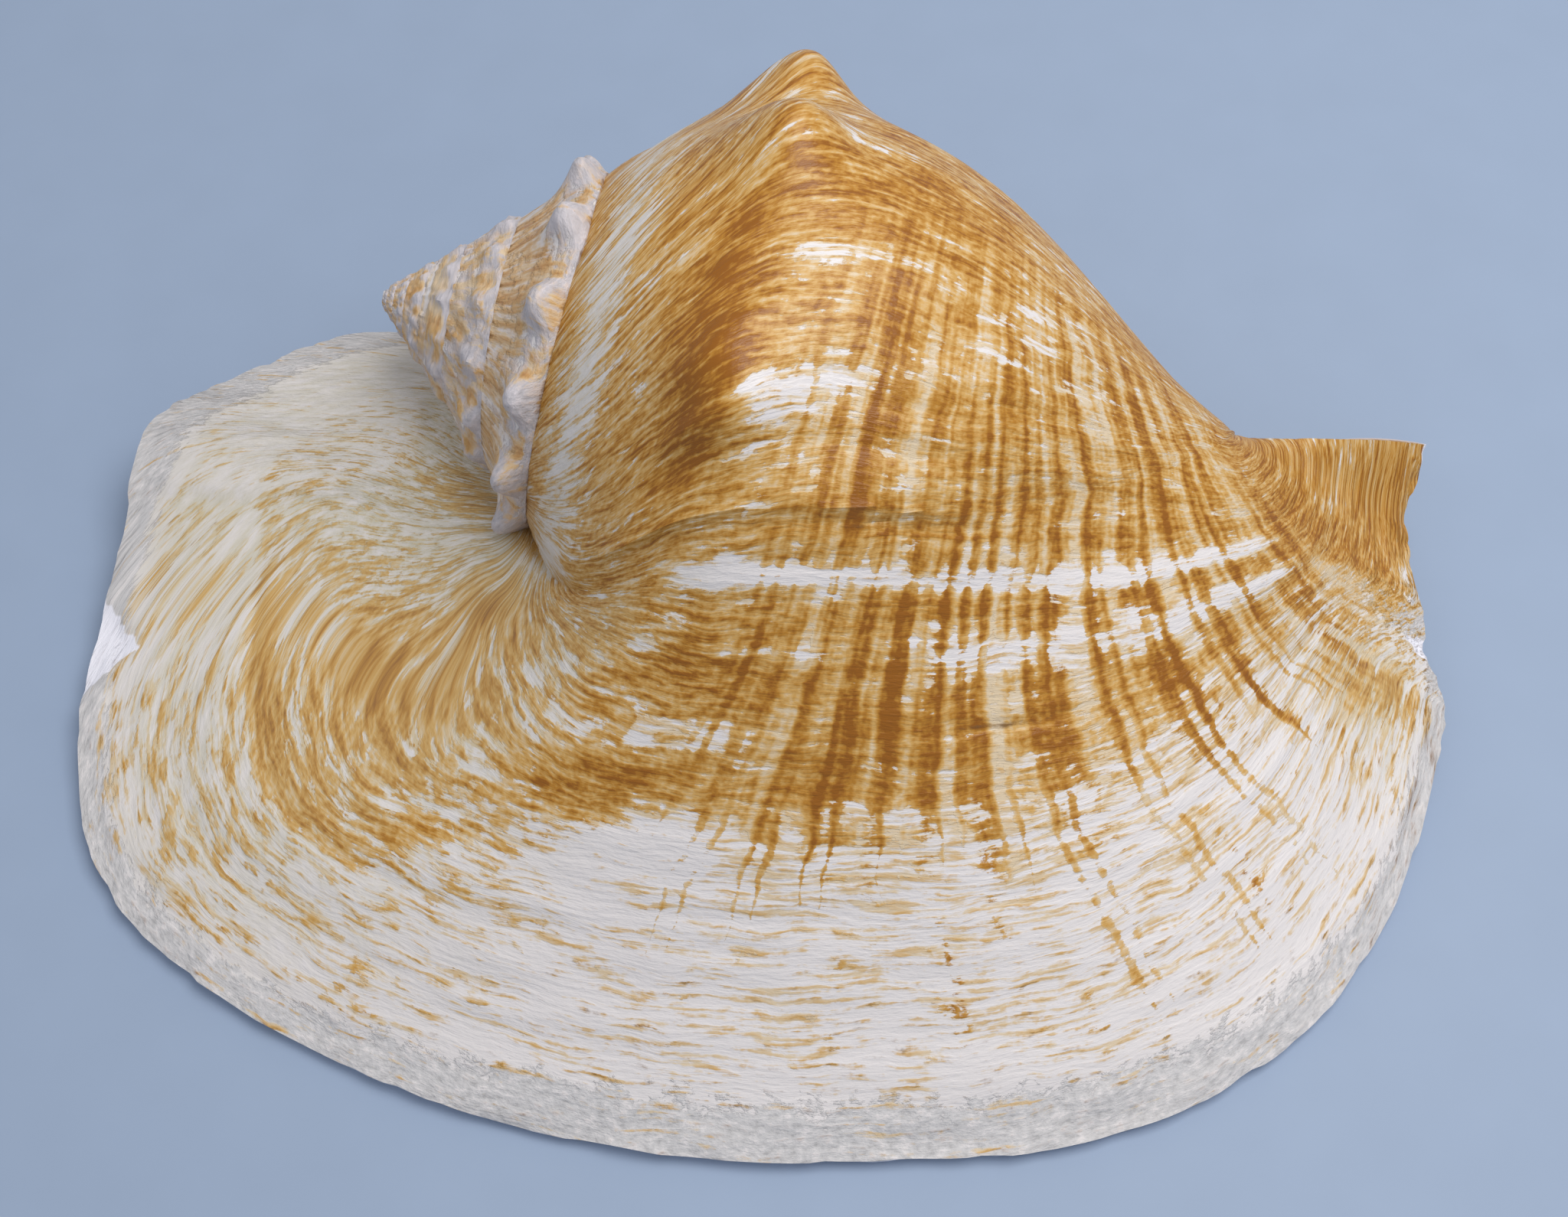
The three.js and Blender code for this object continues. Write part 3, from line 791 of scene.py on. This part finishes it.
def grow_spire(shape):
    """The spire as a helical strip: rows across the whorl, columns around the coil."""
    steps = round((SPIRE_TURNS + SPIRE_END) * SPIRE_STEPS)
    turn = np.arange(steps + 1)[None] / SPIRE_STEPS - SPIRE_TURNS + SPIRE_KNOB_ANGLE / 360
    across = np.linspace(0, 1, SPIRE_ROWS + 1)[:, None]
    worn = smooth(-turn, *SPIRE_WORN_TURNS)
    profile = through(SPIRE_PROFILE, across * (len(SPIRE_PROFILE) - 1))
    straight = SPIRE_PROFILE[0] + (SPIRE_PROFILE[-1] - SPIRE_PROFILE[0]) * across[..., None]
    profile = profile + (straight - profile) * SPIRE_FLATTENING * worn[..., None]
    size = spire_size(shape, turn)
    upper = spire_size(shape, turn - 1) / (size / shape.whorl_growth)
    squeeze = upper + (1 - upper) * np.minimum(across / SPIRE_KNOB_PLACE, 1)
    knob_turn = SPIRE_KNOBS * (turn - SPIRE_KNOB_ANGLE / 360)
    ring = bell(across, *SPIRE_RING) * over(across, fall=SPIRE_RING_END)
    knob = np.maximum(0, 0.25 + 0.75 * np.cos(2 * np.pi * knob_turn)) * ring
    height = SPIRE_KNOB_HEIGHT * knob * (1 - SPIRE_KNOB_WEAR * worn)
    height = height * over(turn, fall=SPIRE_KNOBS_END)
    # Coarse and fine crust, as lumps in a turn and across the whorl; the older whorls have most of it
    crust = rough(turn * 90, across * 6 + np.floor(turn) * 7, 11)
    crust = crust + 0.8 * rough(turn * 210, across * 13, 12)
    lumps = (0.12 + 0.55 * worn) * crust
    along = (profile[..., 0] * squeeze - 0.66 * height - 0.5 * lumps) * size
    radius = (profile[..., 1] * squeeze + 0.75 * height + 0.8 * lumps) * size
    points = around(along, radius, np.broadcast_to(360 * turn, along.shape))
    points[-1, :-SPIRE_STEPS] = points[0, SPIRE_STEPS:]
    # Inside the body whorl the last turn closes to a point on the axis
    closing = points[-1:].copy()
    closing[:, -SPIRE_STEPS:] = around(SPIRE_ROOT, 0.0, 0.0)
    points = np.concatenate([points, closing])

    # Stain lies on the ramp below the suture; between the knobs the colour is partly stain and partly
    # painted shade, and one side of each knob is darkened as painted shade
    ramp = 1 - smooth(across, 0.30, 0.55)
    side = np.maximum(0, np.cos(2 * np.pi * (knob_turn + 0.3))) * ring
    hollow = np.maximum(0, -np.cos(2 * np.pi * knob_turn)) * bell(across, 0.7, 0.18)
    mottle = rough(turn * 26, across * 3, 13)
    pigment = 0.12 + 0.34 * ramp * (1 - 0.35 * worn) + 0.26 * hollow + 0.22 * side
    pigment = pigment - 0.12 * knob + 0.14 * mottle
    chalk = 0.62 + 0.13 * worn + 0.20 * knob - 0.2 * ramp
    suture = (bell(across, 0, 0.04) + bell(across, 1, 0.04)) * (1 - 0.5 * worn)
    dirt_and_shade = 0.4 * (suture + 0.3 * worn * np.maximum(0, -crust))
    growth = np.broadcast_to(turn * 360 * SPIRE_MM_PER_DEGREE, along.shape) * size
    edge_length = np.broadcast_to(across * SPIRE_MM_ACROSS, along.shape) * size
    none = np.zeros_like(along)
    maps = {
        "growth": (growth, edge_length),
        "fan": (none, none),
        "pigment": (np.clip(pigment, 0, 1), none),
        "wear": (np.clip(chalk, 0, 1), none),
        "zone": (none, dirt_and_shade),
        "spire": (none + 1, none + worn),
    }
    padded = {name: tuple(np.concatenate([v, v[-1:]]) for v in pair) for name, pair in maps.items()}
    return points, padded


def add_grid(name, points, maps):
    """A grid primitive whose rows and columns of points take the given places, in millimetres,
    with a UV map for each pair of values."""
    rows, columns = points.shape[0] - 1, points.shape[1] - 1
    bpy.ops.object.select_all(action="DESELECT")
    bpy.ops.mesh.primitive_grid_add(x_subdivisions=columns, y_subdivisions=rows, calc_uvs=False)
    piece = bpy.context.object
    piece.name = piece.data.name = name
    piece.data.vertices.foreach_set("co", ((points - OUTLINE_MIDDLE) * MM).ravel())
    corners = np.empty(len(piece.data.loops), int)
    piece.data.loops.foreach_get("vertex_index", corners)
    for map_name, pair in maps.items():
        values = np.stack([np.ravel(v)[corners] for v in pair], -1).astype(np.float32)
        piece.data.uv_layers.new(name=map_name).uv.foreach_set("vector", values.ravel())
    piece.data.update()
    bpy.ops.object.mode_set(mode="EDIT")
    bpy.ops.mesh.select_all(action="SELECT")
    bpy.ops.mesh.remove_doubles(threshold=1e-6)
    bpy.ops.mesh.fill_holes(sides=0)
    bpy.ops.object.mode_set(mode="OBJECT")
    return piece


def combine(piece, other, operation):
    """Joins another piece to this one, or cuts it away, and removes it."""
    bpy.ops.object.select_all(action="DESELECT")
    bpy.context.view_layer.objects.active = piece
    piece.select_set(True)
    modifier = piece.modifiers.new(operation.lower(), "BOOLEAN")
    modifier.object = other
    modifier.operation = operation
    modifier.solver = "MANIFOLD"
    bpy.ops.object.modifier_apply(modifier=modifier.name)
    bpy.data.objects.remove(other)


def add_node(tree, kind, inputs=(), stops=(), **settings):
    """Adds a shader node with its settings, and links or fills its inputs; None leaves one alone."""
    node = tree.nodes.new("ShaderNode" + kind)
    for name, value in settings.items():
        setattr(node, name, value)
    for socket, value in zip([s for s in node.inputs if s.enabled], inputs):
        if isinstance(value, bpy.types.Node):
            value = next(s for s in value.outputs if s.enabled)
        if isinstance(value, bpy.types.NodeSocket):
            tree.links.new(value, socket)
        elif value is not None:
            socket.default_value = value
    for i, (position, colour) in enumerate(stops):
        elements = node.color_ramp.elements
        stop = elements[i] if i < len(elements) else elements.new(position)
        stop.position, stop.color = position, (*colour, 1)
    return node


def new_material(name):
    """A material, its tree of nodes and its shader."""
    material = bpy.data.materials.new(name)
    material.use_nodes = True
    return material, material.node_tree, material.node_tree.nodes["Principled BSDF"]


def shell_material(colours):
    """Worn shell is layers of aragonite, a hard white mineral, under a thin coloured skin. Each
    growth line is a ridge about a millimetre wide, so the skin is satin and streaked along the
    growing edge; where it has flaked off, the white below shows in ragged patches. The lip and the
    spire are bare and chalky, and the inside of the mouth is glazed."""
    material, tree, shader = new_material("worn aragonite shell")
    values = {}
    for map_name, names in MARK_MAPS.items():
        uv = add_node(tree, "UVMap", uv_map=map_name)
        values.update(zip(names, add_node(tree, "SeparateXYZ", [uv]).outputs))
    growth_map = add_node(tree, "UVMap", uv_map="growth")

    # Growth lines waver by one or two millimetres
    slow = (*(1 / length for length in SWAY_LENGTHS), 1)
    slow = add_node(tree, "VectorMath", [growth_map, slow], operation="MULTIPLY")
    sway = add_node(tree, "TexNoise", [slow, 1.0, 2.0], noise_dimensions="2D").outputs["Color"]
    wavy = add_node(
        tree, "VectorMath", [sway, (SWAY_GROWTH, SWAY_EDGE, 0), growth_map],
        operation="MULTIPLY_ADD",
    )
    _, swing, _ = add_node(tree, "SeparateXYZ", [sway]).outputs
    across = add_node(tree, "Math", [swing, SWAY_EDGE, values["spiral"]], operation="MULTIPLY_ADD")
    fan = add_node(tree, "CombineXYZ", [values["growth"], across])
    for name, (along, edge, detail, roughness) in PATTERNS.items():
        place, size = fan if name == "broad stripes" else wavy, (1 / along, 1 / edge, 1)
        at = add_node(tree, "VectorMath", [place, size], operation="MULTIPLY")
        noise = add_node(tree, "TexNoise", [at, 1.0, detail, roughness], noise_dimensions="2D")
        values[name] = noise.outputs[0]

    # Fine stripes are double lines 4 mm apart, and are faint where the skin is thick. Towards the lip
    # the fan has spread to twice its width, so there the lines draw together.
    apart = add_node(tree, "MapRange", [values["growth"], *STRIPE_GAP])
    nearest = FAR_OFF
    for middle, end in STRIPES:
        fade = [values["growth"], end - STRIPE_FADE, end + STRIPE_FADE, 0.0, 0.9]
        past = add_node(tree, "MapRange", fade)
        off = across
        for operation, other in (
            ("SUBTRACT", middle), ("ABSOLUTE", None), ("SUBTRACT", apart), ("ABSOLUTE", None),
            ("ADD", past), ("MINIMUM", nearest),
        ):
            off = add_node(tree, "Math", [off, other], operation=operation)
        nearest = off
    narrow = add_node(tree, "MapRange", [values["growth"], *STRIPE_THINNING])
    nearest = add_node(tree, "Math", [nearest, narrow], operation="MULTIPLY")
    pairs = add_node(tree, "MapRange", [nearest, *STRIPE_EDGE, 1, 0], interpolation_type="SMOOTHSTEP")
    for name, span in STRIPE_SHARES.items():
        share = add_node(tree, "MapRange", [values[name], *span])
        pairs = add_node(tree, "Math", [pairs, share], operation="MULTIPLY")
    values["pairs"] = pairs

    # Among the stripes the growth lines are calmer
    calm = add_node(tree, "Math", [values["stripes"], -0.55, 1.0], operation="MULTIPLY_ADD")
    for name, pattern, share in (
        ("striped", "broad stripes", values["stripes"]), ("calm lines", "lines", calm),
    ):
        middle = add_node(tree, "Math", [values[pattern], 0.5], operation="SUBTRACT")
        values[name] = add_node(tree, "Math", [middle, share], operation="MULTIPLY")

    for name, (start, weights) in LAYERS.items():
        total = values[start]
        for pattern, weight in weights.items():
            total = add_node(tree, "Math", [values[pattern], weight, total], operation="MULTIPLY_ADD")
        middle = sum(weight / 2 for pattern, weight in weights.items() if pattern not in CENTRED)
        values[name] = add_node(tree, "Math", [total, middle], operation="SUBTRACT")
    stained = add_node(tree, "MapRange", [values["skin"], 0.05, 0.65, 0, 0.8])
    for name, (low, high, most) in COVERS.items():
        values[name] = add_node(
            tree, "MapRange", [values[name], low, high, 0, most], interpolation_type="SMOOTHSTEP"
        )
    # On the spire the skin is gone, and its pigment is a soft stain in the chalk, with painted shade
    # between the knobs and on one side of each
    values["skin"] = add_node(
        tree, "Mix", [values["spire"], values["skin"], stained], data_type="FLOAT"
    )

    pigmented = add_node(tree, "ValToRGB", [values["tone"]], stops=[
        (0.20, colours.cream), (0.50, colours.tan), (0.76, colours.ochre), (1.0, colours.brown),
    ])
    chalky = add_node(tree, "ValToRGB", [values["crumbs"]], stops=[
        (0.28, tuple(0.72 * c for c in colours.chalk)),
        (0.42, tuple(0.92 * c for c in colours.chalk)),
        (0.54, colours.chalk),
        (0.68, colours.white),
    ])
    chalky = add_node(
        tree, "Mix", [values["spire"], chalky, (*colours.lilac, 1)],
        data_type="RGBA", blend_type="MULTIPLY",
    )
    older = add_node(tree, "MapRange", [values["age"], 0, 1, 0, 0.12])
    chalky = add_node(tree, "Mix", [older, chalky, (*colours.stone, 1)], data_type="RGBA")
    for name, low, share, tint in (
        ("spire", 0.0, 0.4, colours.rose), ("olive", 0.5, 0.32, colours.olive),
    ):
        part = add_node(tree, "MapRange", [values[name], low, 1.0, 0.0, share])
        pigmented = add_node(tree, "Mix", [part, pigmented, (*tint, 1)], data_type="RGBA")

    # Thin pigment is darker where a growth line is dense, and olive at the left of the wing
    streaks = add_node(tree, "ValToRGB", [values["lines"]], stops=[
        (0.48, colours.cream), (0.72, colours.tan),
    ])
    part = add_node(tree, "MapRange", [values["olive"], 0.3, 1.0, 0.0, 0.5])
    streaks = add_node(tree, "Mix", [part, streaks, (*colours.olive, 1)], data_type="RGBA")
    patchy = add_node(
        tree, "Math", [values["flakes"], 2.4, -0.45], operation="MULTIPLY_ADD", use_clamp=True
    )
    # Bare shell turns ivory where the olive mark is high, at the lobe and the left of the wing; there
    # it holds painted shade
    creamy = add_node(tree, "Math", [values["olive"], patchy], operation="MULTIPLY")
    surface = add_node(
        tree, "Mix", [creamy, (*colours.white, 1), (*colours.ivory, 1)], data_type="RGBA"
    )
    for name, layer in (
        ("worn", chalky), ("thin", streaks), ("skin", pigmented), ("bare", (*colours.lilac, 1)),
        ("dirt_and_shade", (*colours.grime_and_shade, 1)), ("glaze", (*colours.glaze, 1)),
    ):
        surface = add_node(tree, "Mix", [values[name], surface, layer], data_type="RGBA")
    tree.links.new(surface.outputs[2], shader.inputs["Base Color"])

    dull = add_node(tree, "Math", [values["worn"], values["bare"]], operation="MAXIMUM")
    satin = add_node(tree, "MapRange", [dull, 0, 1, SKIN_ROUGHNESS, CHALK_ROUGHNESS])
    polished = add_node(tree, "Mix", [values["glaze"], satin, GLAZE_ROUGHNESS], data_type="FLOAT")
    tree.links.new(polished.outputs[0], shader.inputs["Roughness"])
    shader.inputs["IOR"].default_value = ARAGONITE_IOR
    shader.inputs["Specular IOR Level"].default_value = SPECULAR_LEVEL

    # The skin stands a tenth of a millimetre proud of the bare layers, and chalk is crumbly
    height = add_node(tree, "Math", [values["crumbs"], values["worn"]], operation="MULTIPLY")
    for name, weight in (("lines", 0.8), ("specks", 0.2), ("skin", 0.15)):
        height = add_node(tree, "Math", [values[name], weight, height], operation="MULTIPLY_ADD")
    outside = add_node(tree, "Math", [1.0, values["glaze"]], operation="SUBTRACT")
    height = add_node(tree, "Math", [height, outside], operation="MULTIPLY")
    bump = add_node(tree, "Bump", [BUMP_STRENGTH, BUMP_HEIGHT])
    tree.links.new(height.outputs[0], bump.inputs["Height"])
    tree.links.new(bump.outputs[0], shader.inputs["Normal"])
    return material


def floor_material(colours):
    """A painted table top: an even matt coat with a faint mottle where it has been wiped."""
    material, tree, shader = new_material("matt painted board")
    place = add_node(tree, "TexCoord").outputs["Object"]
    mottle = add_node(tree, "TexNoise", [place, 1 / FLOOR_MOTTLE, 4]).outputs[0]
    paint = add_node(tree, "ValToRGB", [mottle], stops=[
        (0.3, tuple(0.97 * c for c in colours.floor)), (0.7, colours.floor),
    ])
    tree.links.new(paint.outputs[0], shader.inputs["Base Color"])
    shader.inputs["Roughness"].default_value = FLOOR_ROUGHNESS
    return material


class CONCH_OT_grow_shell(Operator):
    """Grow the shell over its solid and colour it"""

    bl_idname = "conch.grow_shell"
    bl_label = "Grow the shell"

    def execute(self, context):
        shape = context.scene.conch_shape
        points, maps = grow_wall(shape)
        # Columns run the other way round, so that the faces point out
        turned = {name: tuple(v[:, ::-1] for v in pair) for name, pair in maps.items()}
        shell = add_grid("conch_shell", points[:, ::-1], turned)
        combine(shell, add_grid("spire", *grow_spire(shape)), "UNION")
        bpy.ops.object.select_all(action="DESELECT")
        bpy.ops.mesh.primitive_cube_add(size=1, location=(0, 0, -GROUND_DEPTH / 2))
        ground = context.object
        ground.scale = (1, 1, GROUND_DEPTH)
        combine(shell, ground, "DIFFERENCE")
        shell.data.materials.clear()
        shell.data.materials.append(shell_material(context.scene.conch_colours))
        bpy.ops.object.shade_smooth_by_angle(angle=math.radians(SMOOTH_ANGLE))
        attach(shell, "root")
        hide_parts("shell")
        return {"FINISHED"}


class CONCH_OT_set_stage(Operator):
    """Set the floor, the lights and the camera"""

    bl_idname = "conch.set_stage"
    bl_label = "Set the stage"

    def execute(self, context):
        stage = context.scene.conch_stage
        bpy.ops.object.select_all(action="DESELECT")
        bpy.ops.mesh.primitive_plane_add(size=FLOOR_SIZE)
        floor = context.object
        floor.name = "floor"
        floor.data.materials.append(floor_material(context.scene.conch_colours))
        target = Vector((0, 0, TARGET_HEIGHT)) - Vector(OUTLINE_MIDDLE * MM)
        away = Vector((0, -math.cos(stage.elevation), math.sin(stage.elevation)))
        bpy.ops.object.camera_add(location=target + away * stage.distance)
        camera = context.object
        camera.rotation_euler = (-away).to_track_quat("-Z", "Y").to_euler()
        camera.data.lens = stage.lens
        camera.data.clip_start = CLIP_START
        context.scene.camera = camera
        bpy.ops.object.light_add(type="AREA", location=KEY_LIGHT_PLACE)
        light = context.object
        light.name = "key_light"
        light.data.size = KEY_LIGHT_SIZE
        light.data.energy = stage.key_light
        light.rotation_euler = (-light.location).to_track_quat("-Z", "Y").to_euler()
        world = bpy.data.worlds.new("studio")
        context.scene.world = world
        world.use_nodes = True
        sky = world.node_tree.nodes["Background"]
        sky.inputs["Color"].default_value = (*context.scene.conch_colours.sky, 1)
        sky.inputs["Strength"].default_value = stage.fill_light
        context.scene.view_settings.view_transform = "Standard"
        return {"FINISHED"}


class CONCH_PT_sidebar(Panel):
    """The shell's sizes and colours, and the buttons that make it"""

    bl_idname = "CONCH_PT_sidebar"
    bl_label = "Winged conch shell"
    bl_space_type = "VIEW_3D"
    bl_region_type = "UI"
    bl_category = "Conch"

    def draw(self, context):
        for group_name, group in GROUPS.items():
            box = self.layout.box()
            for name in group.__annotations__:
                box.prop(getattr(context.scene, group_name), name)
        self.layout.operator(CONCH_OT_grow_shell.bl_idname)
        self.layout.operator(CONCH_OT_set_stage.bl_idname)


GROUPS = {"conch_shape": ConchShape, "conch_colours": ConchColours, "conch_stage": ConchStage}
CLASSES = (*GROUPS.values(), CONCH_OT_grow_shell, CONCH_OT_set_stage, CONCH_PT_sidebar)


def register():
    for cls in CLASSES:
        bpy.utils.register_class(cls)
    for name, group in GROUPS.items():
        setattr(bpy.types.Scene, name, PointerProperty(type=group))


def unregister():
    for name in GROUPS:
        delattr(bpy.types.Scene, name)
    for cls in reversed(CLASSES):
        bpy.utils.unregister_class(cls)


def main():
    register()
    bpy.ops.conch.grow_shell()
    bpy.ops.conch.set_stage()


if __name__ == "__main__":
    main()
